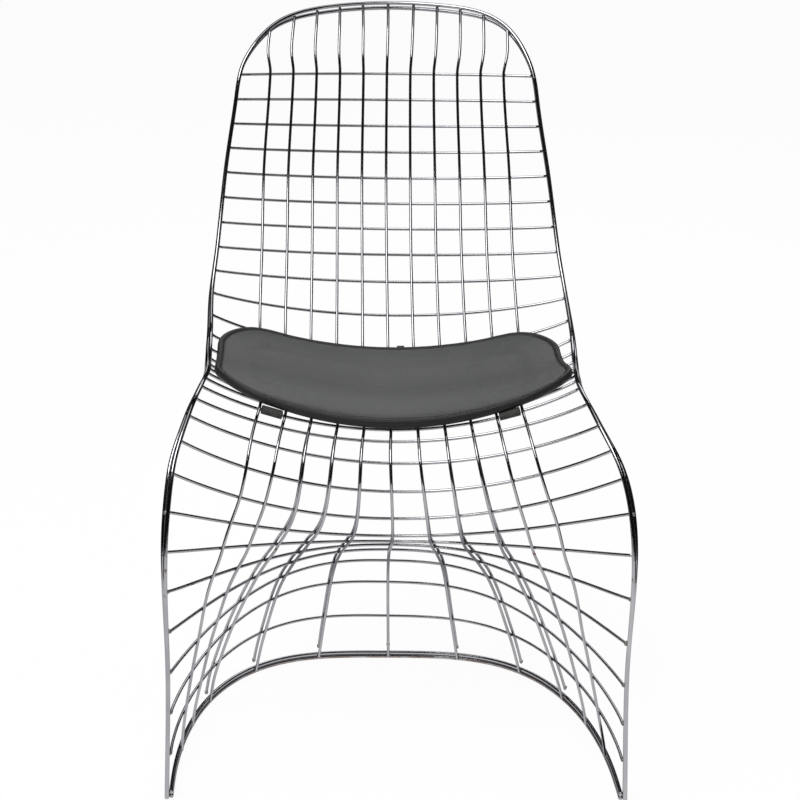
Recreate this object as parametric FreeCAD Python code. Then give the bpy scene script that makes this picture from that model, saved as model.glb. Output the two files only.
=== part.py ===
import FreeCAD, Part
import math
import os

# Wire mesh chair: one S-shaped shell of welded wire, from the back over the seat and
# down a hollow skirt to a U-shaped floor bar, with a thin pad tied to the seat.
# Millimetres. Seen from the front, X runs to the right, the front faces -Y and Z is up;
# left and right in the names are as seen from the front. The origin is on the floor
# under the middle of the whole chair.

Vec = FreeCAD.Vector

# Wire and rod sizes
MESH_WIRE = 3.5
RIM_ROD = 5.0
FLOOR_ROD = 5.0
WELD_SINK = 0.2
FLOOR_FLAT = 0.5
ROD_END_ROUND = 1.2

# How finely the pieces follow the shell: stops along a cross wire in the back and seat and
# in the skirt, along one side of the rim, along the top rail and along the floor bar
CROSS_STOPS = 13
SKIRT_CROSS_STOPS = 19
SKIRT_CURVE_LEVEL = 23
RIM_SIDE_STOPS = 28
RAIL_STOPS = 9
FLOOR_STOPS = 21
RUN_UNIT = 100.0

# Levels of the shell are counted in cross wires, from 1, the highest, to 30 just above
# the floor bar, which lies at 31. The top rail is above the first cross wire.
CROSS_WIRES = 30
BACK_WIRES = 10
SEAT_WIRES = 20
TOP_LEVEL = -2.2
RAIL_END_LEVEL = 1.7
FLOOR_LEVEL = 31.0
RIM_FOOT_LEVEL = 31.09

# How far the sections below are moved along X and Y, to bring the origin under the middle
SIDE_SHIFT = -2.1
DEPTH_SHIFT = -32.6

# Side edge of the shell: level, half width, and y and z as seen from the side
SIDE_EDGE = [
    (-2.2, 181, 345, 823),
    (-1.1, 184, 317, 802),
    (0.1, 186.5, 289, 758),
    (1, 182, 279, 728),
    (5, 199, 247, 609),
    (8, 209.5, 210, 521),
    (10, 216.7, 171, 471),
    (12, 219, 112, 433),
    (14, 217, 39, 423),
    (17, 212, -78, 437),
    (19, 213, -152, 442),
    (21, 227, -218, 422),
    (23, 248, -265, 372),
    (25, 256.5, -291, 291),
    (28, 252.2, -299, 147),
    (31, 255, -294, 5),
]

# Middle line of the shell: level, y and z
MIDDLE_LINE = [
    (-2.2, 364, 804),
    (-1.1, 337, 784),
    (0.1, 318, 752),
    (1, 311, 725),
    (5, 276, 598),
    (8, 224, 511),
    (9, 203, 481),
    (10, 179, 444),
    (11, 149, 406),
    (12, 110, 382),
    (14, 27, 372),
    (17, -78, 386),
    (19, -137, 388),
    (20, -164, 382),
    (21, -186, 363),
    (22, -194, 332),
    (23, -182, 296),
    (24, -151, 265),
    (25, -108, 244),
    (26, -58, 223),
    (27, -5, 199),
    (28, 48, 167),
    (29, 94, 123),
    (30, 128, 66),
    (31, 154, 5),
]

# Curve of a cross wire from the middle to the side edge: level, the power of its bow, how
# round its ends are, the share of its half length at which the outermost long wire is,
# and the power that spaces the long wires inside that
CROSS_CURVE = [
    (-2.2, 2.0, 1.2, 0.79, 0.95),
    (1, 2.0, 1.2, 0.80, 1.0),
    (12, 2.0, 1.1, 0.715, 1.02),
    (17, 2.0, 1.07, 0.70, 1.01),
    (21, 2.0, 1.07, 0.68, 0.98),
    (23, 2.1, 1.02, 0.66, 0.96),
    (25, 2.15, 0.8, 0.70, 1.0),
    (26.5, 2.3, 0.9, 0.755, 1.04),
    (28, 2.65, 1.05, 0.785, 1.05),
    (29.5, 2.9, 1.5, 0.795, 1.06),
    (31, 3.25, 2.25, 0.80, 1.04),
]

# The hand-welded mesh isn't quite square: level, how far its edges sway sideways, how far
# its middle sways beyond that, how many levels a cross wire's right end hangs lower, and
# how much higher the shell's right edge is
SWAY = [
    (-2.2, 4.5, -4.2, 0.0, 3.5),
    (-1.1, 1.4, -1.6, 0.0, 3.5),
    (1, -2.0, 0.5, -0.05, 0.0),
    (8, 1.0, -1.5, 0.02, 0.0),
    (10, 2.0, -1.5, 0.03, 0.0),
    (12, 4.0, -2.7, 0.04, 0.0),
    (17, -1.5, -1.5, -0.12, 0.0),
    (19, -5.5, 1.0, -0.07, 0.0),
    (21, -5.5, -0.5, 0.14, 0.0),
    (24, 2.0, -2.5, -0.03, 0.0),
    (28, 3.0, 0.0, 0.13, 0.0),
    (31, 4.5, 5.0, 0.0, 0.0),
]

# How far the long wires 1 to 5 wander outwards, as shares of a cross wire's half length:
# level, then one column for each wire from the middle outwards
LEFT_WANDER = [
    (-2.2, 0.0, 0.0, 0.0, 0.0, 0.0),
    (17, 0.0, 0.0, 0.0, 0.0, 0.0),
    (21, 0.0, 0.0, 0.0, 0.0, 0.0),
    (23, 0.003, 0.008, 0.004, 0.015, 0.006),
    (25, 0.02, 0.04, 0.035, 0.04, 0.035),
    (28, 0.0, 0.02, 0.055, 0.065, 0.03),
    (30, 0.0, 0.01, 0.065, 0.03, 0.0),
    (31, 0.0, 0.0, 0.04, 0.015, -0.02),
]
RIGHT_WANDER = [
    (-2.2, 0.0, 0.0, 0.0, 0.0, 0.0),
    (17, 0.0, 0.0, 0.0, 0.0, 0.0),
    (21, 0.0, 0.0, 0.0, 0.0, 0.0),
    (25, 0.0, -0.015, -0.005, -0.005, 0.0),
    (28, 0.0, -0.01, -0.01, -0.005, -0.025),
    (30, 0.0, 0.0, 0.0, -0.01, -0.03),
    (31, 0.0, 0.0, 0.01, -0.005, 0.01),
]

# Rim, two rods side by side: level, how far its middle stands outside the cross wires'
# ends, how far apart its rods are, how much they lean inwards in degrees, and how far
# the cross wires run on between them
RIM = [
    (-2.2, 3.3, 8.8, 0, 4.8),
    (8, 3.3, 8.1, 6, 4.8),
    (13, 3.3, 8.1, 24, 4.8),
    (19, 3.3, 8.1, 28, 4.8),
    (24, 3.3, 8.1, 30, 4.8),
    (27, 3.6, 5.0, 8, 0.4),
    (31, 3.6, 5.0, 0, 0.4),
]

# Long wires, five each side of the middle one. The middle seven are doubled in the skirt.
SIDE_LONG_WIRES = 5
DOUBLED_SIDE_WIRES = 3
LAYER = MESH_WIRE - WELD_SINK
DOUBLING_LEVELS = (17.5, 30.84)
LONG_WIRE_FOOT_LEVEL = 31.03

# Seat pad: its outline from above, before the shift along Y, and its thickness
PAD_HALF_WIDTH = 209.0
PAD_REAR_Y = 137.0
PAD_FRONT_Y = -143.0
PAD_FRONT_BOW = 22.0
PAD_CORNER_R = 62.0
PAD_CLEARANCE = 0.4
PAD_EDGE_THICK = 11.0
PAD_CROWN = 7.0
PAD_EDGE_BULGE = 3.5
PAD_SIDE_ROUND = 6.0
PAD_STATIONS = (45, 90, 125, 150, 170, 186, 197, 204, 208)

# Ties that hold the pad to a cross wire: the wire's number, the long wires that the tie
# lies between, and its width
FRONT_TIE = (19, 4, 5, 24.0)
REAR_TIE = (11, 0, 1, 9.0)
TIE_THICK = 1.5
TIE_DEPTH = 13.0


def curve(table, column):
    """A smooth curve through one column of a table, against its first column."""
    xs = [row[0] for row in table]
    ys = [row[column] for row in table]
    last = len(xs) - 1
    slopes = []
    for i in range(last + 1):
        a = max(i - 1, 0)
        b = min(i + 1, last)
        slopes.append((ys[b] - ys[a]) / (xs[b] - xs[a]))

    def value(x):
        i = 0
        while i < last - 1 and x > xs[i + 1]:
            i += 1
        h = xs[i + 1] - xs[i]
        t = (x - xs[i]) / h
        near = (2 * t ** 3 - 3 * t ** 2 + 1) * ys[i] + (t ** 3 - 2 * t ** 2 + t) * h * slopes[i]
        far = (3 * t ** 2 - 2 * t ** 3) * ys[i + 1] + (t ** 3 - t ** 2) * h * slopes[i + 1]
        return near + far

    return value


half_width = curve(SIDE_EDGE, 1)
edge_y = curve(SIDE_EDGE, 2)
edge_z = curve(SIDE_EDGE, 3)
middle_y = curve(MIDDLE_LINE, 1)
middle_z = curve(MIDDLE_LINE, 2)
bow_power = curve(CROSS_CURVE, 1)
end_roundness = curve(CROSS_CURVE, 2)
outer_share = curve(CROSS_CURVE, 3)
spacing_power = curve(CROSS_CURVE, 4)
sway = curve(SWAY, 1)
middle_sway = curve(SWAY, 2)
skew = curve(SWAY, 3)
tilt = curve(SWAY, 4)
rim_outset = curve(RIM, 1)
rim_apart = curve(RIM, 2)
rim_lean = curve(RIM, 3)
run_on = curve(RIM, 4)
left_wander = [curve(LEFT_WANDER, n) for n in (1, 2, 3, 4, 5)]
right_wander = [curve(RIGHT_WANDER, n) for n in (1, 2, 3, 4, 5)]


def shell(level, q):
    """A point of the shell; q is 0 in the middle and 1 at the right edge."""
    d = 1 - (1 - min(abs(q), 1.0) ** bow_power(level)) ** (1 / end_roundness(level))
    y = middle_y(level) + (edge_y(level) - middle_y(level)) * d + DEPTH_SHIFT
    z = middle_z(level) + (edge_z(level) - middle_z(level)) * d + tilt(level) * q
    x = half_width(level) * q + sway(level) + middle_sway(level) * (1 - q * q) + SIDE_SHIFT
    return Vec(x, y, z)


def shell_normal(level, q):
    """The unit normal of the shell on the sitter's side."""
    step = 0.02
    q = max(-0.97, min(0.97, q))
    down = shell(level + step, q) - shell(level - step, q)
    across = shell(level, q + step) - shell(level, q - step)
    return down.cross(across).normalize()


def q_at_share(level, share):
    """The q at which a share of the cross wire's half length has been run."""
    steps = 60
    points = [shell(level, math.sin(math.pi / 2 * i / steps)) for i in range(steps + 1)]
    runs = [points[i].distanceToPoint(points[i + 1]) for i in range(steps)]
    left = share * sum(runs)
    i = 0
    while left > runs[i]:
        left -= runs[i]
        i += 1
    return math.sin(math.pi / 2 * (i + left / runs[i]) / steps)


def q_of_column(level, column):
    """The q of a long wire, counted from the middle, left ones below zero; a fraction lies
    between two wires."""
    if column == 0:
        return 0.0
    spacing = (abs(column) / SIDE_LONG_WIRES) ** spacing_power(level)
    wander = (left_wander if column < 0 else right_wander)[math.ceil(abs(column)) - 1]
    return math.copysign(q_at_share(level, outer_share(level) * spacing + wander(level)), column)


def spread(first, last, count):
    """Evenly spaced stops."""
    return [first + (last - first) * i / (count - 1) for i in range(count)]


def biarc(p0, t0, p1, t1):
    """The joint of two arcs that leave p0 along t0 and reach p1 along t1, and its direction."""
    v = p1 - p0
    a = 2 * (t0.dot(t1) - 1)
    b = -2 * v.dot(t0 + t1)
    c = v.dot(v)
    d = -c / b
    if abs(a) > 1e-9:
        root = math.sqrt(b * b - 4 * a * c)
        d = max((-b - root) / (2 * a), (-b + root) / (2 * a))
    q0 = p0 + t0 * d
    q1 = p1 - t1 * d
    return (q0 + q1) * 0.5, (q1 - q0).normalize()


def arc_edge(p0, t0, p1):
    """An arc from p0 to p1 that leaves p0 along t0, or a line where it would be straight."""
    chord = p1 - p0
    unit = Vec(chord).normalize()
    side = t0 - unit * t0.dot(unit)
    if side.Length < 1e-5:
        return Part.LineSegment(p0, p1).toShape()
    turn = math.atan2(side.Length, t0.dot(unit))
    mid = (p0 + p1) * 0.5 + side.normalize() * (chord.Length / 2 * math.tan(turn / 2))
    return Part.Arc(p0, mid, p1).toShape()


def rod(place, stops, diameter, end_round=0.0):
    """A round rod on tangent arcs through place(t) at each stop."""
    step = 0.002
    points = [place(t) for t in stops]
    headings = [(place(t + step) - place(t - step)).normalize() for t in stops]
    edges = []
    for i in range(len(stops) - 1):
        joint, heading = biarc(points[i], headings[i], points[i + 1], headings[i + 1])
        edges.append(arc_edge(points[i], headings[i], joint))
        edges.append(arc_edge(joint, heading, points[i + 1]))
    section = Part.Wire(Part.makeCircle(diameter / 2, points[0], headings[0]))
    solid = Part.Wire(edges).makePipeShell([section], True, False)
    if end_round:
        ends = [face for face in solid.Faces if isinstance(face.Surface, Part.Plane)]
        corners = [edge for face in ends for edge in face.Edges]
        solid = solid.makeFillet(end_round, corners).Solids[0]
    return solid


def cross_point(number, q):
    """A point of a cross wire."""
    return shell(number + skew(number) * q, q)


def cross_wire(number):
    """One cross wire, with a short straight run on between the rim's rods."""

    def place(t):
        inside = max(-1.0, min(1.0, t))
        p = cross_point(number, math.sin(inside * math.pi / 2))
        if t == inside:
            return p
        before = cross_point(number, math.sin(inside * 0.99 * math.pi / 2))
        return p + (p - before).normalize() * ((abs(t) - 1) * RUN_UNIT)

    count = SKIRT_CROSS_STOPS if number > SKIRT_CURVE_LEVEL else CROSS_STOPS
    stops = spread(-1, 1, count)
    extra = run_on(number) / RUN_UNIT
    return rod(place, [-1 - extra] + stops + [1 + extra], MESH_WIRE)


def rim_middle(t):
    """The rim's middle line and its level. The top rail is at t from -1 to 1, the sides
    run on from there to the two feet at -2 and 2."""
    side = math.copysign(1, t)
    turn = min(abs(t), 1.0) * math.pi / 2
    rail = TOP_LEVEL + (RAIL_END_LEVEL - TOP_LEVEL) * (1 - math.cos(turn))
    level = rail + max(abs(t) - 1, 0.0) * (RIM_FOOT_LEVEL - RAIL_END_LEVEL)
    q = 1.0
    if abs(t) < 1:
        q = min(1.0, math.sin(turn) * half_width(RAIL_END_LEVEL) / half_width(level))
    p = shell(level, q * side)
    return p + Vec(side * rim_outset(level) * math.sin(turn), 0, 0), level


def rim_front(t):
    """The unit direction from the rim's middle line to its front rod."""
    step = 0.01
    level = rim_middle(t)[1]
    along = (rim_middle(t + step)[0] - rim_middle(t - step)[0]).normalize()
    share = min(1.0, abs(t)) ** 2
    down = []
    for middle, edge in ((middle_y, edge_y), (middle_z, edge_z)):
        middle_drop = middle(level + step) - middle(level - step)
        edge_drop = edge(level + step) - edge(level - step)
        down.append(middle_drop * (1 - share) + edge_drop * share)
    lean = math.radians(rim_lean(level)) * min(1.0, abs(t))
    outward = Vec(0, down[1], -down[0]).normalize()
    front = outward * math.cos(lean) - Vec(math.copysign(1, t), 0, 0) * math.sin(lean)
    return (front - along * front.dot(along)).normalize()


def rim_rod(which):
    """The front rod (1) or the rear rod (-1) of the rim, from foot to foot over the back."""

    def place(t):
        middle, level = rim_middle(t)
        return middle + rim_front(t) * (which * rim_apart(level) / 2)

    side = spread(1, 2, RIM_SIDE_STOPS)
    stops = [-t for t in reversed(side)] + spread(-0.8, 0.8, RAIL_STOPS) + side
    return rod(place, stops, RIM_ROD)


def long_place(column, layer):
    """A long wire's path: column counts from the middle, layer is 1 in front and -1 behind."""

    def place(level):
        q = q_of_column(level, column)
        sunk = min(1.0, max(0.0, (level - TOP_LEVEL) / (1 - TOP_LEVEL)))
        return shell(level, q) + shell_normal(level, q) * (layer * LAYER * sunk)

    return place


def long_wire_top(column):
    """The level at which a long wire meets the top rail."""
    level = TOP_LEVEL
    for _ in range(30):
        x = long_place(column, 1)(level).x - sway(level) - SIDE_SHIFT
        turn = math.asin(min(1.0, abs(x) / half_width(RAIL_END_LEVEL)))
        level = TOP_LEVEL + (RAIL_END_LEVEL - TOP_LEVEL) * (1 - math.cos(turn))
    return level


def long_wire(column):
    """A long wire of the front layer, from the top rail down to the floor bar."""
    stops = spread(long_wire_top(column), 0.5, 4) + [float(n) for n in range(1, CROSS_WIRES + 1)]
    return rod(long_place(column, 1), stops + [LONG_WIRE_FOOT_LEVEL], MESH_WIRE)


def doubling_wire(column):
    """A wire of the rear layer, from under the pad down to the top of the floor bar."""
    first, last = DOUBLING_LEVELS
    stops = [first] + [float(n) for n in range(18, CROSS_WIRES + 1)] + [last]
    return rod(long_place(column, -1), stops, MESH_WIRE)


def floor_bar(height):
    """One of the two stacked U-shaped rods on the floor, its middle line at a height."""
    inset = rim_outset(FLOOR_LEVEL) - (RIM_ROD + FLOOR_ROD) / 2 + WELD_SINK

    def place(t):
        q = math.sin(max(-1.0, min(1.0, t)) * math.pi / 2)
        p = shell(FLOOR_LEVEL, q)
        return Vec(p.x + inset * q, p.y, height)

    return rod(place, spread(-1, 1, FLOOR_STOPS), FLOOR_ROD, ROD_END_ROUND)


def lower_floor_bar():
    """The rod that the chair rests on, with its worn flat underneath."""
    bar = floor_bar(FLOOR_ROD / 2 - FLOOR_FLAT)
    size = 4 * PAD_HALF_WIDTH
    ground = Part.makeBox(size, size, size, Vec(-size / 2, -size / 2, -size))
    return bar.cut(ground).Solids[0]


def upper_floor_bar():
    """The rod that lies on the lower one."""
    return floor_bar(FLOOR_ROD * 1.5 - FLOOR_FLAT - WELD_SINK)


def pad_point(x, level, rise):
    """A point above the shell at a given x."""
    q = (x - sway(level)) / half_width(level)
    p = shell(level, q) + shell_normal(level, q) * rise
    return Vec(x + SIDE_SHIFT, p.y, p.z)


def pad_level(x, y, low, high):
    """The level between low and high at which the pad's mid height reaches y."""
    rise = LAYER + MESH_WIRE / 2 + PAD_CLEARANCE + PAD_EDGE_THICK / 2
    for _ in range(30):
        mid = (low + high) / 2
        if pad_point(x, mid, rise).y - DEPTH_SHIFT > y:
            low = mid
        else:
            high = mid
    return low


def pad_section(x):
    """The pad's outline at one x: arcs along the underside, the front edge, the top and
    the rear edge."""
    beyond = max(0.0, abs(x) - (PAD_HALF_WIDTH - PAD_CORNER_R))
    corner = PAD_CORNER_R - math.sqrt(PAD_CORNER_R ** 2 - beyond ** 2)
    bow = PAD_FRONT_BOW * (x / PAD_HALF_WIDTH) ** 2
    first = pad_level(x, PAD_REAR_Y - corner, 10.0, 16.0)
    last = pad_level(x, PAD_FRONT_Y + bow + corner, 15.0, 21.0)
    inside = min(1.0, (PAD_HALF_WIDTH - abs(x)) / PAD_SIDE_ROUND)
    full = math.sqrt(1 - (1 - inside) ** 2)
    wide = 1 - (x / PAD_HALF_WIDTH) ** 4
    under = LAYER + MESH_WIRE / 2 + PAD_CLEARANCE
    tuck = PAD_EDGE_THICK / 2 * (1 - full)
    bottom = []
    top = []
    for s in spread(0, 1, 9):
        level = first + (last - first) * s
        crown = PAD_CROWN * wide * (1 - abs(2 * s - 1) ** 4)
        bottom.append(pad_point(x, level, under + tuck))
        top.append(pad_point(x, level, under + PAD_EDGE_THICK + crown - tuck))
    edges = []
    for i in range(0, 8, 2):
        edges.append(Part.Arc(*bottom[i : i + 3]).toShape())
    edges.append(pad_edge(bottom[8], top[8], (bottom[8] - bottom[7]).normalize()))
    top.reverse()
    for i in range(0, 8, 2):
        edges.append(Part.Arc(*top[i : i + 3]).toShape())
    edges.append(pad_edge(top[8], bottom[0], (bottom[0] - bottom[1]).normalize()))
    return Part.Wire(edges)


def pad_edge(a, b, outward):
    """The rounded edge of the pad between its underside and its top."""
    bulge = PAD_EDGE_BULGE * (b - a).Length / PAD_EDGE_THICK
    return Part.Arc(a, (a + b) * 0.5 + outward * bulge, b).toShape()


def seat_pad():
    """The pad, lofted from side to side."""
    xs = [-x for x in reversed(PAD_STATIONS)] + [0] + list(PAD_STATIONS)
    return Part.makeLoft([pad_section(x) for x in xs], True, False)


def tie(number, inner, outer, width, side):
    """A flat loop of strap round a cross wire, closed against the underside of the pad."""
    q = q_of_column(number, side * (inner + outer) / 2)
    across = (shell(number, q + 0.01) - shell(number, q - 0.01)).normalize()
    up = shell_normal(number, q)
    along = up.cross(across)
    low = -MESH_WIRE / 2 - TIE_THICK
    high = LAYER + MESH_WIRE / 2 + PAD_CLEARANCE
    middle = cross_point(number, q) - across * (width / 2) + up * ((low + high) / 2)
    outer_r = (high - low) / 2
    loops = []
    for r in (outer_r, outer_r - TIE_THICK):
        half = TIE_DEPTH / 2 - outer_r
        a, b = middle - along * half, middle + along * half
        edges = [
            Part.LineSegment(a + up * r, b + up * r).toShape(),
            Part.Arc(b + up * r, b + along * r, b - up * r).toShape(),
            Part.LineSegment(b - up * r, a - up * r).toShape(),
            Part.Arc(a - up * r, a - along * r, a + up * r).toShape(),
        ]
        loops.append(Part.Face(Part.Wire(edges)).extrude(across * width))
    return loops[0].cut(loops[1]).Solids[0]


def pieces():
    """Every piece of the chair by name."""
    nodes = {}
    for n in range(1, CROSS_WIRES + 1):
        zone = "back" if n <= BACK_WIRES else "seat" if n <= SEAT_WIRES else "skirt"
        nodes["%s_cross_wire_%02d" % (zone, n)] = cross_wire(n)
    nodes["long_wire_middle"] = long_wire(0)
    for n in range(1, SIDE_LONG_WIRES + 1):
        nodes["long_wire_left_%d" % n] = long_wire(-n)
        nodes["long_wire_right_%d" % n] = long_wire(n)
    nodes["doubling_wire_middle"] = doubling_wire(0)
    for n in range(1, DOUBLED_SIDE_WIRES + 1):
        nodes["doubling_wire_left_%d" % n] = doubling_wire(-n)
        nodes["doubling_wire_right_%d" % n] = doubling_wire(n)
    nodes["front_rim_rod"] = rim_rod(1)
    nodes["rear_rim_rod"] = rim_rod(-1)
    nodes["lower_floor_bar"] = lower_floor_bar()
    nodes["upper_floor_bar"] = upper_floor_bar()
    nodes["seat_pad"] = seat_pad()
    nodes["front_pad_tie_left"] = tie(*FRONT_TIE, -1)
    nodes["front_pad_tie_right"] = tie(*FRONT_TIE, 1)
    nodes["rear_pad_tie"] = tie(*REAR_TIE, 1)
    return nodes


def main():
    """One STEP file for each piece."""
    os.makedirs("parts", exist_ok=True)
    for name, shape in pieces().items():
        shape.exportStep("parts/%s.step" % name)


if __name__ == "__main__":
    main()
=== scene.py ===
import math
import bmesh
import bpy
from mathutils import Matrix, Vector, noise
from mathutils.bvhtree import BVHTree


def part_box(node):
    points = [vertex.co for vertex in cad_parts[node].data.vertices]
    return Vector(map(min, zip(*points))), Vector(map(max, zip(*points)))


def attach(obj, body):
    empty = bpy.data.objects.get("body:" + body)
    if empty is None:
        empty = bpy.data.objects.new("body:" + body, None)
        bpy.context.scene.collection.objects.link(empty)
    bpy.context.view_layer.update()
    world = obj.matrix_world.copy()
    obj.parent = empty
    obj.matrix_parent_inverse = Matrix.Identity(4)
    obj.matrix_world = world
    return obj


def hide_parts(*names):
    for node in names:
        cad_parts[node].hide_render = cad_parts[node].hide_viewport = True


# Wire mesh chair in bright chrome with a thin dark leatherette pad. Metres throughout.

# Camera
CAMERA_AT = (-0.1317, -3.3536, 1.3213)
CAMERA_DOWN = math.radians(15.729)
CAMERA_TURN = math.radians(2.424)
CAMERA_ROLL = math.radians(1.255)
CAMERA_LENS = 130.5

# Pad: its outline seen from above, and how far its cover's front edge goes past the solid's
PAD_CORNER = 0.062
PAD_FRONT_BOW = 0.022
PAD_FRONT_REACH = 0.007
PAD_AROUND = 360
PAD_DEEPEST_OFFSET = PAD_CORNER - 0.012

# Pad's filling: the simulated body, and the insets over which its swelling comes in
PAD_VOXEL = 0.005
PAD_SLACK = 0.0012
PAD_MERGE = 0.00002
PAD_SWELL_CAP = 0.004
PAD_SINK_CAP = 0.0005
PAD_SWELL_FROM = 0.008
PAD_SWELL_OVER = 0.03
CLOTH_FRAMES = 20
CLOTH_SETTINGS = {
    "quality": 5,
    "mass": 0.3,
    "tension_stiffness": 12,
    "compression_stiffness": 12,
    "bending_stiffness": 3,
    "use_pressure": True,
    "uniform_pressure_force": 4,
}

# Where the outline lies just outside the solid, the skin is carried on at the solid's slope
SKIN_CAST_FROM = 0.2
SKIN_STEP = 0.0008
SKIN_SLOPE_RUN = 0.006
SKIN_CLIMB_CAP = 0.01

# Cover: the seam, its gathers, the rows of the mesh by inset, and how often they are evened
SEAM_INSET = 0.0085
SEAM_WIDTH = 0.0016
SEAM_DEPTH = 0.0011
SEAM_PULL = 0.0006
PAD_PLUMP = 0.006
PUCKER = 0.0005
PUCKER_REACH = 0.007
PUCKER_RUN = 2.6
TOP_INSETS = [
    0.0030, 0.0045, 0.0060, 0.0070, 0.0077, 0.0081, SEAM_INSET, 0.0089, 0.0093, 0.0100,
    0.0112, 0.0130, 0.0160, 0.0200, 0.0250, 0.0310, 0.0380, 0.0440, 0.0500, 0.0570, 0.0640,
    0.0720, 0.0800, 0.0880, 0.0960, 0.1040, 0.1120, 0.1200, 0.1280, 0.1350, 0.1400,
]
UNDER_INSETS = [0.0030, 0.0060, 0.0120, 0.0220, 0.0350, 0.0500, 0.0700, 0.0900, 0.1100, 0.1300]
TOP_EVENINGS = 10
UNDER_EVENINGS = 6
EDGE_STEPS = 7

# Stitches: spacing and size, and the rings of each by share of its length, girth and lift
STITCH_STEP = 0.0042
STITCH_LONG = 0.0030
STITCH_THICK = 0.00045
STITCH_RAISED = 0.0002
STITCH_SIDES = 6
STITCH_RINGS = ((0, 0.25, -0.5), (0.18, 0.9, 0.5), (0.82, 0.9, 0.5), (1, 0.25, -0.5))

# Weld beads at the ends of the skirt's wires
BEAD_RADIUS = 0.0027
FOOT_BEAD_RADIUS = BEAD_RADIUS * 0.9
BEAD_ROUGH = 0.22
END_DEPTH = 0.0012
RIM_END_SIDEWAYS = 0.6
RIM_END_FORWARD = -0.8

# Colours
CHROME = (0.44, 0.44, 0.46)
CHROME_DULL = (0.36, 0.36, 0.38)
CHROME_EDGE = (0.35, 0.35, 0.37, 1.0)
# Brown heat tint near the welds, also used as a painted reflection of a brown floor low on the
# floor bar
BROWN_HEAT_TINT_AND_FLOOR_REFLECTION = (0.20, 0.125, 0.085)
WELD_DARK = (0.16, 0.15, 0.14)
WELD_PALE = (0.38, 0.37, 0.36)
COVER_DARK = (0.050, 0.054, 0.051)
COVER_PALE = (0.064, 0.068, 0.065)
COVER_PORE = (0.036, 0.038, 0.036)
# Border: the cover's own colours darkened, as painted shade where the cover turns down
BORDER_DARK = (0.013, 0.014, 0.013)
BORDER_PALE = (0.020, 0.021, 0.019)
BORDER_PORE = (0.009, 0.009, 0.009)
THREAD_DARK = (0.03, 0.03, 0.028)
THREAD_PALE = (0.07, 0.07, 0.066)
WEBBING_DARK = (0.012, 0.012, 0.012)
WEBBING_PALE = (0.05, 0.05, 0.048)
WHITE = (1, 1, 1, 1)
FLOOR_GREY = (0.8, 0.8, 0.8, 1)
CARD_BLACK = (0.012, 0.012, 0.013, 1)

# Heights between which the welded throat is tinted by heat, and the floor bar's painted
# reflection of a brown floor
THROAT_LOW = (0.215, 0.245)
THROAT_HIGH = (0.30, 0.27)
FLOOR_REFLECTION_HEIGHT = (0.0052, 0.0012)
# How strong the floor bar's painted reflection of a brown floor is
FLOOR_BAR_REFLECTION = 0.8

# Studio: lamps by name, place, size and watts, what they aim at, the light from all round,
# and how white the floor shows
LAMPS = [
    ("key_lamp", (-1.0, -1.6, 3.1), 2.2, 75.0),
    ("left_lamp", (-3.2, -0.8, 1.7), 1.6, 22.0),
    ("right_lamp", (3.2, -0.6, 1.8), 1.6, 22.0),
    ("rear_lamp", (0.4, 2.8, 2.6), 1.8, 25.0),
]
LAMP_AIM = (0, 0, 0.4)
WORLD_LIGHT = 0.55
FLOOR_WHITE = 0.94
FLOOR_HALF = 30.0

# Dark cards: a ring, between two angles above the horizon, and one on each side of the chair
CARD_AWAY = 6.5
CARD_CENTRE = 0.35
CARD_LOW = math.radians(-4)
CARD_HIGH = math.radians(66)
CARD_LEVELS = 6
CARD_AROUND = 64
SIDE_CARD_AWAY = 1.25
SIDE_CARD_CORNERS = ((-1.3, 0.0), (1.3, 0.0), (1.3, 1.5), (-1.3, 1.5))

# Sockets of the Mix node when it mixes colours
MIX_AMOUNT = 0
MIX_LOW = 6
MIX_HIGH = 7
MIX_RESULT = 2


class Amount:
    """A number that varies over a surface; arithmetic on it adds Math nodes."""

    def __init__(self, nodes, socket):
        self.nodes = nodes
        self.socket = socket

    def math(self, operation, other):
        inputs = {0: self, 1: other}
        made = self.nodes.node("ShaderNodeMath", {"operation": operation}, inputs)
        return Amount(self.nodes, made.outputs[0])

    def __add__(self, other):
        return self.math("ADD", other)

    def __radd__(self, other):
        return self.math("ADD", other)

    def __mul__(self, other):
        return self.math("MULTIPLY", other)

    def __rmul__(self, other):
        return self.math("MULTIPLY", other)

    def band(self, low, high):
        """0 below low, 1 above high, smooth between; low may be the greater one."""
        settings = {"interpolation_type": "SMOOTHSTEP"}
        inputs = {"Value": self, "From Min": low, "From Max": high}
        made = self.nodes.node("ShaderNodeMapRange", settings, inputs)
        return Amount(self.nodes, made.outputs["Result"])


class Nodes:
    """A node tree that is built up from nothing."""

    def __init__(self, tree):
        self.tree = tree
        self.tree.nodes.clear()

    def plug(self, socket, value):
        """Links a socket to an amount or another socket, or sets its value."""
        if isinstance(value, Amount):
            value = value.socket
        if isinstance(value, bpy.types.NodeSocket):
            self.tree.links.new(value, socket)
        else:
            socket.default_value = value

    def node(self, kind, settings, inputs):
        """One node, with its settings and the values or links of its sockets."""
        made = self.tree.nodes.new(kind)
        for key, value in settings.items():
            setattr(made, key, value)
        for key, value in inputs.items():
            self.plug(made.inputs[key], value)
        return made

    def seen_white(self):
        """1 for camera, glossy and transmitted rays, which see the white background."""
        rays = self.node("ShaderNodeLightPath", {}, {}).outputs
        seen = Amount(self, rays["Is Camera Ray"])
        seen = seen.math("MAXIMUM", rays["Is Glossy Ray"])
        return seen.math("MAXIMUM", rays["Is Transmission Ray"])


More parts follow.
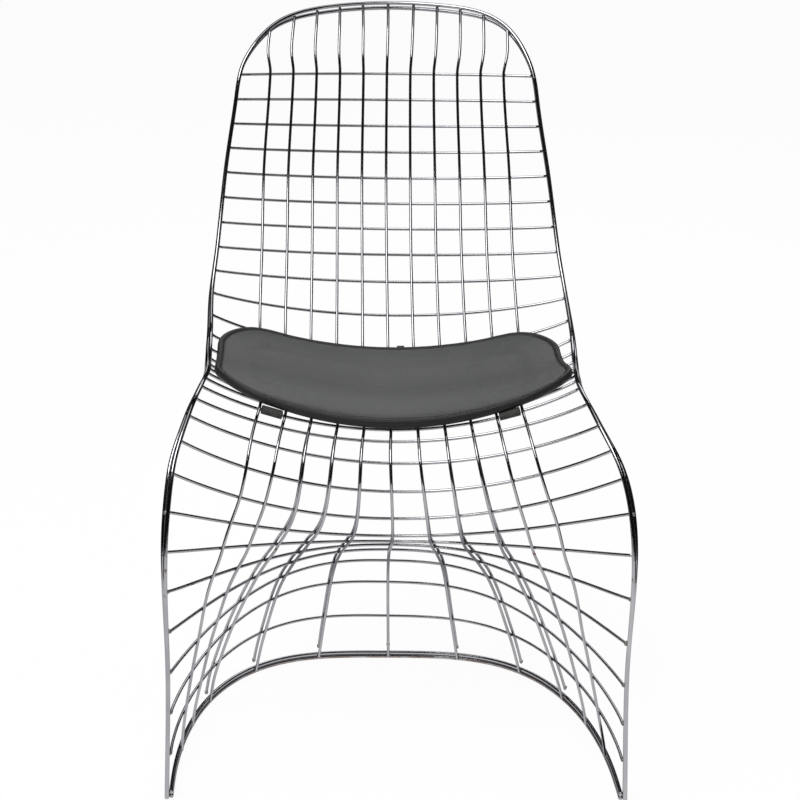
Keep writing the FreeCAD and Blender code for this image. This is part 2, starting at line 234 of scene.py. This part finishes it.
class Finish(Nodes):
    """A material whose shader is one Principled node."""

    def __init__(self, name, constants):
        self.material = new_material(name)
        super().__init__(self.material.node_tree)
        self.shader = self.node("ShaderNodeBsdfPrincipled", {}, constants)
        self.node("ShaderNodeOutputMaterial", {}, {"Surface": self.shader.outputs[0]})

    def place(self):
        """Where a point is on the object, in metres."""
        return self.node("ShaderNodeTexCoord", {}, {}).outputs["Object"]

    def height(self):
        made = self.node("ShaderNodeSeparateXYZ", {}, {"Vector": self.place()})
        return Amount(self, made.outputs["Z"])

    def noise(self, scale, detail=2.0, rough=0.5, distort=0.0):
        inputs = {
            "Vector": self.place(),
            "Scale": scale,
            "Detail": detail,
            "Roughness": rough,
            "Distortion": distort,
        }
        return Amount(self, self.node("ShaderNodeTexNoise", {}, inputs).outputs["Fac"])

    def cells(self, scale):
        inputs = {"Vector": self.place(), "Scale": scale}
        return Amount(self, self.node("ShaderNodeTexVoronoi", {}, inputs).outputs["Distance"])

    def wave(self, direction, scale):
        settings = {"wave_type": "BANDS", "bands_direction": direction, "wave_profile": "SIN"}
        inputs = {"Vector": self.place(), "Scale": scale, "Distortion": 0.0}
        return Amount(self, self.node("ShaderNodeTexWave", settings, inputs).outputs["Fac"])

    def mix(self, amount, low, high):
        """A colour between two colours; the low one may be a mix itself."""
        low = low if isinstance(low, bpy.types.NodeSocket) else (*low, 1.0)
        inputs = {MIX_AMOUNT: amount, MIX_LOW: low, MIX_HIGH: (*high, 1.0)}
        return self.node("ShaderNodeMix", {"data_type": "RGBA"}, inputs).outputs[MIX_RESULT]

    def bump(self, height, distance):
        inputs = {"Height": height, "Distance": distance}
        self.set("Normal", self.node("ShaderNodeBump", {}, inputs).outputs[0])

    def set(self, name, value):
        self.plug(self.shader.inputs[name], value)


def new_material(name):
    material = bpy.data.materials.new(name)
    material.use_nodes = True
    return material


def chrome(name, floor_reflection):
    """Bright chrome on drawn wire: faint polishing, dulled patches and, where the wires were
    welded close together, brown heat tint. The second argument is how much painted reflection
    of a brown floor the low parts have, in patches."""
    finish = Finish(name, {"Metallic": 1.0, "Specular Tint": CHROME_EDGE})
    patches = finish.noise(14.0, detail=3.0, rough=0.6)
    streaks = finish.noise(900.0, rough=0.6)
    height = finish.height()
    near_throat = height.band(*THROAT_LOW) * height.band(*THROAT_HIGH)
    scorch = near_throat * finish.noise(75.0, detail=3.0, rough=0.7).band(0.60, 0.70)
    # Painted reflection of a brown floor on the lowest millimetres, in patches; the scorch
    # near the throat is real heat tint
    low = height.band(*FLOOR_REFLECTION_HEIGHT) * floor_reflection
    floor_reflection_spots = finish.noise(30.0, detail=4.0, rough=0.7).band(0.30, 0.62)
    heat_tint_and_reflection = (low * floor_reflection_spots).math("MAXIMUM", scorch)
    plated = finish.mix(patches.band(0.3, 0.7), CHROME, CHROME_DULL)
    finish.set("Base Color", finish.mix(heat_tint_and_reflection, plated, BROWN_HEAT_TINT_AND_FLOOR_REFLECTION))
    dull = patches.band(0.35, 0.75) * 0.06
    finish.set("Roughness", 0.07 + dull + streaks * 0.05 + heat_tint_and_reflection * 0.3)
    finish.bump(streaks * 0.5 + finish.noise(160.0) * 0.5, 0.00004)
    return finish.material


def weld_metal():
    """Rough grey weld under thin plating."""
    finish = Finish("weld_metal", {"Metallic": 1.0})
    grains = finish.noise(700.0, detail=3.0, rough=0.6)
    finish.set("Base Color", finish.mix(grains.band(0.35, 0.65), WELD_DARK, WELD_PALE))
    finish.set("Roughness", 0.35 + grains * 0.25)
    finish.bump(grains, 0.0003)
    return finish.material


def leatherette():
    """Dark grey leatherette: pebbled grain, soft rub marks and a low sheen."""
    finish = Finish("pad_leatherette", {"Specular IOR Level": 0.32, "Sheen Weight": 0.03})
    grain = finish.cells(620.0).math("MINIMUM", 1.0)
    fine = finish.noise(1500.0, rough=0.6)
    rubs = finish.noise(9.0, detail=4.0, rough=0.6, distort=0.6)
    pores = grain.band(0.15, 0.55)
    base = finish.mix(rubs.band(0.3, 0.7), COVER_DARK, COVER_PALE)
    finish.set("Base Color", finish.mix(pores * 0.35, base, COVER_PORE))
    finish.set("Roughness", 0.42 + rubs * 0.1 + grain * 0.08)
    finish.bump(pores * -0.7 + fine * 0.3, 0.00018)
    return finish.material


def leatherette_edge():
    """The same cover on the pad's border, edge and underside, in darker colours: painted shade
    where it turns down.
    """
    finish = Finish("pad_border", {"Specular IOR Level": 0.28})
    rubs = finish.noise(12.0, detail=4.0, rough=0.6)
    pores = finish.cells(620.0).band(0.15, 0.55)
    base = finish.mix(rubs.band(0.3, 0.7), BORDER_DARK, BORDER_PALE)
    finish.set("Base Color", finish.mix(pores * 0.4, base, BORDER_PORE))
    finish.set("Roughness", 0.42 + rubs * 0.12)
    finish.bump(pores * -0.7 + finish.noise(1500.0) * 0.3, 0.00018)
    return finish.material


def thread():
    """Waxed dark thread, twisted."""
    finish = Finish("seam_thread", {"Roughness": 0.6})
    twist = finish.noise(2400.0)
    finish.set("Base Color", finish.mix(twist, THREAD_DARK, THREAD_PALE))
    finish.bump(twist, 0.0001)
    return finish.material


def strap():
    """Black woven strap: a fine over and under weave."""
    finish = Finish("tie_webbing", {"Roughness": 0.8})
    weave = finish.wave("X", 260.0).math("MAXIMUM", finish.wave("Y", 260.0))
    lint = finish.noise(800.0, detail=3.0)
    finish.set("Base Color", finish.mix(weave * 0.7 + lint * 0.3, WEBBING_DARK, WEBBING_PALE))
    finish.bump(weave, 0.0003)
    return finish.material


def add_mesh(name, vertices, faces, materials):
    """A mesh object in the scene."""
    mesh = bpy.data.meshes.new(name)
    mesh.from_pydata([tuple(v) for v in vertices], [], faces)
    for material in materials:
        mesh.materials.append(material)
    piece = bpy.data.objects.new(name, mesh)
    bpy.context.scene.collection.objects.link(piece)
    return piece


def own(name, vertices, faces, materials, kinds=None):
    """A smooth mesh piece that rides on the chair."""
    piece = add_mesh(name, vertices, faces, materials)
    mesh = piece.data
    if kinds:
        mesh.polygons.foreach_set("material_index", kinds)
    mesh.polygons.foreach_set("use_smooth", [True] * len(faces))
    mesh.update()
    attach(piece, "root")
    return piece


def tree_of(mesh):
    """A search tree of a mesh."""
    vertices = [v.co.copy() for v in mesh.vertices]
    return BVHTree.FromPolygons(vertices, [tuple(p.vertices) for p in mesh.polygons])


def evaluated_mesh(piece):
    """A piece's mesh as its modifiers leave it; the modifiers go."""
    seen = bpy.context.evaluated_depsgraph_get()
    made = bpy.data.meshes.new_from_object(piece.evaluated_get(seen))
    piece.modifiers.clear()
    return made


def shrunk_pad():
    """The pad's solid, slightly slack, with an even mesh."""
    body = bpy.data.objects.new("pad_body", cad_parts["seat_pad"].data.copy())
    bpy.context.scene.collection.objects.link(body)
    body.data.materials.clear()
    joined = bmesh.new()
    joined.from_mesh(body.data)
    bmesh.ops.remove_doubles(joined, verts=joined.verts, dist=PAD_MERGE)
    joined.normal_update()
    for vertex in joined.verts:
        vertex.co -= vertex.normal * PAD_SLACK
    joined.to_mesh(body.data)
    joined.free()
    remesh = body.modifiers.new("remesh", "REMESH")
    remesh.mode = "VOXEL"
    remesh.voxel_size = PAD_VOXEL
    body.data = evaluated_mesh(body)
    return body


def swollen_pad():
    """The pad's body, puffed up by a cloth simulation from a slightly slack start."""
    body = shrunk_pad()
    rest = [v.co.copy() for v in body.data.vertices]
    cloth = body.modifiers.new("cloth", "CLOTH")
    for key, value in CLOTH_SETTINGS.items():
        setattr(cloth.settings, key, value)
    cloth.settings.effector_weights.gravity = 0
    cloth.collision_settings.use_self_collision = False
    for number in range(1, CLOTH_FRAMES + 1):
        bpy.context.scene.frame_set(number)
    puffed = evaluated_mesh(body)
    for vertex, before in zip(puffed.vertices, rest):
        move = vertex.co - before
        if move.length > PAD_SWELL_CAP:
            vertex.co = before + move * (PAD_SWELL_CAP / move.length)
    body.data = puffed
    bpy.context.scene.frame_set(1)
    return body


def rounded_rectangle(half_x, half_y, corner, count):
    """Evenly spaced points round a rounded rectangle, from the middle of its right side, and
    the outward direction at each."""
    side = half_y - corner
    turn = math.pi / 2 * corner
    quarter = side + turn + half_x - corner
    points = []
    for i in range(count):
        run = 4 * quarter * i / count
        which = int(run // quarter)
        t = run - which * quarter
        if which % 2:
            t = quarter - t
        if t < side:
            x, y, angle = half_x, t, 0.0
        elif t < side + turn:
            angle = (t - side) / corner
            x = half_x - corner + corner * math.cos(angle)
            y = side + corner * math.sin(angle)
        else:
            x, y, angle = half_x - corner - (t - side - turn), half_y, math.pi / 2
        sign_x = 1 if which in (0, 3) else -1
        sign_y = 1 if which in (0, 1) else -1
        out = Vector((sign_x * math.cos(angle), sign_y * math.sin(angle)))
        points.append((Vector((sign_x * x, sign_y * y)), out))
    return points


class PadShape:
    """Where the pad's skin is: inset is the distance in from its outline seen from above."""

    def __init__(self, solid, puffed):
        low, high = [Vector(v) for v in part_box("seat_pad")]
        self.solid = solid
        self.puffed = puffed
        self.middle = (low + high) / 2
        self.half_x = (high.x - low.x) / 2
        self.half_y = (high.y - low.y) / 2
        self.stations = rounded_rectangle(self.half_x, self.half_y, PAD_CORNER, PAD_AROUND)

    def plan(self, station, inset):
        """A point seen from above."""
        point, out = self.stations[station % PAD_AROUND]
        p = point - out * min(inset, PAD_DEEPEST_OFFSET)
        if inset > PAD_DEEPEST_OFFSET:
            p = p * (1 - (inset - PAD_DEEPEST_OFFSET) / (self.half_y - PAD_DEEPEST_OFFSET))
        y = p.y
        if y < 0:
            bow = PAD_FRONT_BOW * (p.x / self.half_x) ** 2
            y *= 1 - bow / self.half_y
        return self.middle.x + p.x, self.middle.y + y

    def reached(self, station, inset):
        """A point seen from above, with the front edge eased forward."""
        x, y = self.plan(station, inset)
        ahead = max(self.middle.y - y, 0.0) / self.half_y
        return x, y - PAD_FRONT_REACH * ahead ** 3

    def hit(self, tree, x, y, up):
        """Where a plumb line meets a body's top (up 1) or underside (up -1)."""
        start = Vector((x, y, self.middle.z + up * SKIN_CAST_FROM))
        return tree.ray_cast(start, Vector((0, 0, -up)))[0]

    def skin(self, station, inset, up):
        """The height of the pad's top, with its swelling, or of its underside."""
        inward = inset
        found = None
        while found is None:
            x, y = self.plan(station, inward)
            found = self.hit(self.solid, x, y, up)
            inward += SKIN_STEP
        short = inward - SKIN_STEP - inset
        if short > 0:
            deeper = self.hit(self.solid, *self.plan(station, inward + SKIN_SLOPE_RUN), up)
            run = SKIN_SLOPE_RUN + SKIN_STEP
            climb = (found.z - deeper.z) * short / run if deeper else 0.0
            return found.z + min(max(climb, -SKIN_CLIMB_CAP), SKIN_CLIMB_CAP)
        if up < 0:
            return found.z
        swollen = self.hit(self.puffed, x, y, up)
        if swollen is None:
            return found.z
        share = min(max((inset - PAD_SWELL_FROM) / PAD_SWELL_OVER, 0.0), 1.0)
        rise = min(max(swollen.z - found.z, -PAD_SINK_CAP), PAD_SWELL_CAP)
        return found.z + rise * share * share * (3 - 2 * share)

    def heights(self, insets, up, evenings):
        """The skin's heights round the pad at each inset."""
        around = range(PAD_AROUND)
        rows = [[self.skin(i, inset, up) for i in around] for inset in insets]
        return smoothed(rows, evenings)

    def row(self, inset, heights):
        """Points round the pad at one inset."""
        return [(*self.reached(i, inset), z) for i, z in enumerate(heights)]


def smoothed(rows, rounds):
    """Rows of numbers round the pad, each averaged with its neighbours."""
    for _ in range(rounds):
        soft = []
        for j, row in enumerate(rows):
            before = rows[max(j - 1, 0)]
            after = rows[min(j + 1, len(rows) - 1)]
            soft.append([
                (2 * row[i] + row[i - 1] + row[(i + 1) % len(row)] + before[i] + after[i]) / 6
                for i in range(len(row))
            ])
        rows = soft
    return rows


def seam_dip(inset):
    """How far the topstitched seam draws the cover down."""
    near = abs(inset - SEAM_INSET) / SEAM_WIDTH
    wide = abs(inset - SEAM_INSET) / PAD_PLUMP
    return SEAM_DEPTH * math.exp(-near * near) + SEAM_PULL * math.exp(-wide * wide)


def pucker(inset, along):
    """Small gathers that run in from the seam."""
    reach = math.exp(-abs(inset - SEAM_INSET) / PUCKER_REACH)
    broad = noise.noise(Vector((along * 58.0, 3.1, 0.4)))
    tight = noise.noise(Vector((along * 120.0, 7.7, 1.9)))
    return PUCKER * reach * (broad + 0.6 * tight)


def cover_rows(shape):
    """The rows of points of the cover, from the middle of the underside round the edge to the
    middle of the top, and which row is the seam's."""
    tops = shape.heights(TOP_INSETS, 1, TOP_EVENINGS)
    unders = shape.heights(UNDER_INSETS, -1, UNDER_EVENINGS)
    pairs = list(zip(UNDER_INSETS, unders))
    rows = [shape.row(inset, heights) for inset, heights in reversed(pairs)]
    for step in range(1, EDGE_STEPS):
        angle = math.pi * step / EDGE_STEPS
        inset = TOP_INSETS[0] * (1 - math.sin(angle))
        share = (1 - math.cos(angle)) / 2
        heights = [low + (high - low) * share for low, high in zip(unders[0], tops[0])]
        rows.append(shape.row(inset, heights))
    seam_row = len(rows) + TOP_INSETS.index(SEAM_INSET)
    for inset, heights in zip(TOP_INSETS, tops):
        dip = seam_dip(inset)
        gathered = [
            z - dip + pucker(inset, PUCKER_RUN * i / PAD_AROUND)
            for i, z in enumerate(heights)
        ]
        rows.append(shape.row(inset, gathered))
    return rows, seam_row


def pad_cover(shape):
    """The cover: top panel, topstitched border, rounded edge and underside, and where its
    seam runs."""
    around = PAD_AROUND
    rows, seam_row = cover_rows(shape)
    vertices = [p for row in rows for p in row]
    faces = []
    kinds = []
    for j in range(len(rows) - 1):
        near, far = j * around, (j + 1) * around
        for i in range(around):
            k = (i + 1) % around
            faces.append((near + i, near + k, far + k, far + i))
            kinds.append(1 if j < seam_row else 0)
    for end, kind in ((0, 1), (len(rows) - 1, 0)):
        ring = [Vector(p) for p in rows[end]]
        vertices.append(tuple(sum(ring, Vector()) / around))
        hub = len(vertices) - 1
        for i in range(around):
            k = (i + 1) % around
            pair = (end * around + i, end * around + k)
            faces.append((pair[1], pair[0], hub) if kind else (*pair, hub))
            kinds.append(kind)
    return vertices, faces, kinds, [Vector(p) for p in rows[seam_row]]


def stitches(seam):
    """Short threads along the seam, as one mesh."""
    line = seam + [seam[0]]
    runs = [(line[i + 1] - line[i]).length for i in range(len(seam))]
    total = sum(runs)
    count = round(total / STITCH_STEP)
    vertices = []
    faces = []
    sides = STITCH_SIDES
    for n in range(count):
        ends = []
        for off in (-STITCH_LONG / 2, STITCH_LONG / 2):
            run = (n * total / count + off) % total
            i = 0
            while run > runs[i]:
                run -= runs[i]
                i += 1
            ends.append(line[i].lerp(line[i + 1], run / runs[i]))
        along = (ends[1] - ends[0]).normalized()
        side = along.cross(Vector((0, 0, 1))).normalized()
        up = side.cross(along)
        first = len(vertices)
        for share, girth, lift in STITCH_RINGS:
            centre = ends[0].lerp(ends[1], share) + up * (lift * STITCH_THICK + STITCH_RAISED)
            for s in range(sides):
                angle = 2 * math.pi * s / sides
                spoke = side * math.cos(angle) + up * math.sin(angle)
                vertices.append(centre + spoke * (girth * STITCH_THICK))
        last = len(STITCH_RINGS) - 1
        for ring in range(last):
            a = first + ring * sides
            for s in range(sides):
                t = (s + 1) % sides
                faces.append((a + s, a + t, a + sides + t, a + sides + s))
        faces.append(tuple(first + s for s in reversed(range(sides))))
        faces.append(tuple(first + last * sides + s for s in range(sides)))
    return vertices, faces


def pad():
    """The pad: a thin cushion with a topstitched border, in the space of its solid."""
    body = swollen_pad()
    shape = PadShape(tree_of(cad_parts["seat_pad"].data), tree_of(body.data))
    vertices, faces, kinds, seam = pad_cover(shape)
    materials = [leatherette(), leatherette_edge()]
    cover = own("pad_cover", vertices, faces, materials, kinds)
    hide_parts("seat_pad")
    vertices, faces = stitches(seam)
    own("pad_stitches", vertices, faces, [thread()])
    bpy.data.objects.remove(body)


def wire_end(node, which):
    """The middle of one end of a wire: which picks it by the direction that it lies in."""
    points = [v.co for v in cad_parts[node].data.vertices]
    far = max(p.dot(which) for p in points)
    cap = [p for p in points if p.dot(which) > far - END_DEPTH]
    return sum(cap, Vector()) / len(cap)


def bead(vertices, faces, centre, radius, seed):
    """One uneven blob of weld."""
    made = bmesh.new()
    bmesh.ops.create_icosphere(made, subdivisions=2, radius=1.0)
    first = len(vertices)
    for vertex in made.verts:
        bumps = noise.noise(vertex.co * 1.7 + Vector((seed, 0.3 * seed, 2.0)))
        vertices.append(centre + vertex.co * (radius * (1 + BEAD_ROUGH * bumps)))
    for face in made.faces:
        faces.append(tuple(first + v.index for v in face.verts))
    made.free()


def weld_beads():
    """Beads of weld where the skirt's cross wires meet the rim and the long wires the bar."""
    vertices = []
    faces = []
    for number in range(24, 31):
        node = "skirt_cross_wire_%d" % number
        for side in (-1, 1):
            end = wire_end(node, Vector((RIM_END_SIDEWAYS * side, RIM_END_FORWARD, 0.0)))
            bead(vertices, faces, end, BEAD_RADIUS, number * 1.7 + side)
    feet = ["long_wire_middle", "doubling_wire_middle"]
    for side in ("left", "right"):
        feet += ["long_wire_%s_%d" % (side, n) for n in range(1, 6)]
        feet += ["doubling_wire_%s_%d" % (side, n) for n in range(1, 4)]
    for number, node in enumerate(feet):
        end = wire_end(node, Vector((0, 0, -1))) + Vector((0, 0, FOOT_BEAD_RADIUS))
        bead(vertices, faces, end, FOOT_BEAD_RADIUS, number * 2.3 + 0.5)
    own("weld_beads", vertices, faces, [weld_metal()])


def lamp(name, at, size, power):
    """A soft square lamp aimed at the seat."""
    data = bpy.data.lights.new(name, "AREA")
    data.shape = "SQUARE"
    data.size = size
    data.energy = power
    piece = bpy.data.objects.new(name, data)
    piece.location = at
    aim = Vector(LAMP_AIM) - Vector(at)
    piece.rotation_euler = aim.to_track_quat("-Z", "Y").to_euler()
    bpy.context.scene.collection.objects.link(piece)


def white_world():
    """White behind the chair, and an even soft light from all round."""
    world = bpy.data.worlds.new("studio")
    bpy.context.scene.world = world
    world.use_nodes = True
    nodes = Nodes(world.node_tree)
    range_inputs = {"Value": nodes.seen_white(), "To Min": WORLD_LIGHT, "To Max": 1.0}
    strength = nodes.node("ShaderNodeMapRange", {}, range_inputs).outputs["Result"]
    back = nodes.node("ShaderNodeBackground", {}, {"Color": WHITE, "Strength": strength})
    nodes.node("ShaderNodeOutputWorld", {}, {"Surface": back.outputs[0]})


def floor():
    """The pale floor. It shows nearly white and keeps the chair's shadow."""
    material = new_material("studio_floor")
    nodes = Nodes(material.node_tree)
    lit = nodes.node("ShaderNodeBsdfDiffuse", {}, {"Color": FLOOR_GREY}).outputs[0]
    glow = nodes.node("ShaderNodeEmission", {}, {}).outputs[0]
    share = nodes.seen_white() * FLOOR_WHITE
    mixed = nodes.node("ShaderNodeMixShader", {}, {0: share, 1: lit, 2: glow})
    nodes.node("ShaderNodeOutputMaterial", {}, {"Surface": mixed.outputs[0]})
    size = FLOOR_HALF
    corners = [(-size, -size, 0), (size, -size, 0), (size, size, 0), (-size, size, 0)]
    add_mesh("studio_floor", corners, [(0, 1, 2, 3)], [material])


def dark_cards():
    """Dark cards beside the chair and in a ring round the white sweep, which give the chrome
    its dark lines. Only reflections see them."""
    paint = {"Base Color": CARD_BLACK, "Roughness": 1.0, "Specular IOR Level": 0.0}
    vertices = []
    faces = []
    for side in (-1, 1):
        first = len(vertices)
        for along, rise in SIDE_CARD_CORNERS:
            vertices.append((side * SIDE_CARD_AWAY, along, rise))
        faces.append((first, first + 1, first + 2, first + 3))
    start = len(vertices)
    for j in range(CARD_LEVELS + 1):
        rise = CARD_LOW + (CARD_HIGH - CARD_LOW) * j / CARD_LEVELS
        flat = CARD_AWAY * math.cos(rise)
        high = CARD_CENTRE + CARD_AWAY * math.sin(rise)
        for i in range(CARD_AROUND):
            turn = 2 * math.pi * i / CARD_AROUND
            vertices.append((flat * math.sin(turn), flat * math.cos(turn), high))
    for j in range(CARD_LEVELS):
        near, far = start + j * CARD_AROUND, start + (j + 1) * CARD_AROUND
        for i in range(CARD_AROUND):
            k = (i + 1) % CARD_AROUND
            faces.append((near + i, near + k, far + k, far + i))
    cards = add_mesh("studio_cards", vertices, faces, [Finish("studio_card", paint).material])
    cards.visible_camera = False
    cards.visible_diffuse = False
    cards.visible_transmission = False
    cards.visible_shadow = False


def dress(names, material):
    """One material on CAD nodes."""
    for name in names:
        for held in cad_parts[name].material_slots:
            held.material = material


def metalwork():
    """Chrome on every wire, rod and bar, and webbing on the ties."""
    plain = chrome("bright_chrome", 0.0)
    # The floor bars get a painted reflection of a brown floor on their low side
    floor_reflecting_chrome = chrome("floor_bar_chrome", FLOOR_BAR_REFLECTION)
    ties = [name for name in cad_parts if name.endswith(("_tie", "_tie_left", "_tie_right"))]
    bars = ["lower_floor_bar", "upper_floor_bar"]
    others = ties + bars + ["seat_pad"]
    dress([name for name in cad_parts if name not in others], plain)
    dress(bars, floor_reflecting_chrome)
    dress(ties, strap())


def studio():
    """A pale floor and plain soft light."""
    white_world()
    floor()
    dark_cards()
    for name, at, size, power in LAMPS:
        lamp(name, at, size, power)
    bpy.context.scene.view_settings.view_transform = "Standard"


def camera():
    """The photograph's view."""
    down, turn, roll = CAMERA_DOWN, CAMERA_TURN, CAMERA_ROLL
    flat = math.cos(down)
    forward = Vector((math.sin(turn) * flat, math.cos(turn) * flat, -math.sin(down)))
    level = Vector((math.cos(turn), -math.sin(turn), 0))
    above = level.cross(forward)
    right = level * math.cos(roll) + above * math.sin(roll)
    up = above * math.cos(roll) - level * math.sin(roll)
    data = bpy.data.cameras.new("camera")
    data.lens = CAMERA_LENS
    data.sensor_width = 36.0
    data.clip_start = 0.05
    data.clip_end = 60.0
    eye = bpy.data.objects.new("camera", data)
    bpy.context.scene.collection.objects.link(eye)
    turned = Matrix((right, up, -forward)).transposed().to_4x4()
    eye.matrix_world = Matrix.Translation(Vector(CAMERA_AT)) @ turned
    bpy.context.scene.camera = eye


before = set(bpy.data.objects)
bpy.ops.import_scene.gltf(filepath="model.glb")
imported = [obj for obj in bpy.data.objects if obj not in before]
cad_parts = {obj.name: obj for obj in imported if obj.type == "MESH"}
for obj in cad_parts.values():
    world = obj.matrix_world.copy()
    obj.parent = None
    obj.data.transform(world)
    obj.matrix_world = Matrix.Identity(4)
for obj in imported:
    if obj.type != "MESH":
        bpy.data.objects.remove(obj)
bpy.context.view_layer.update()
camera()
studio()
metalwork()
pad()
weld_beads()
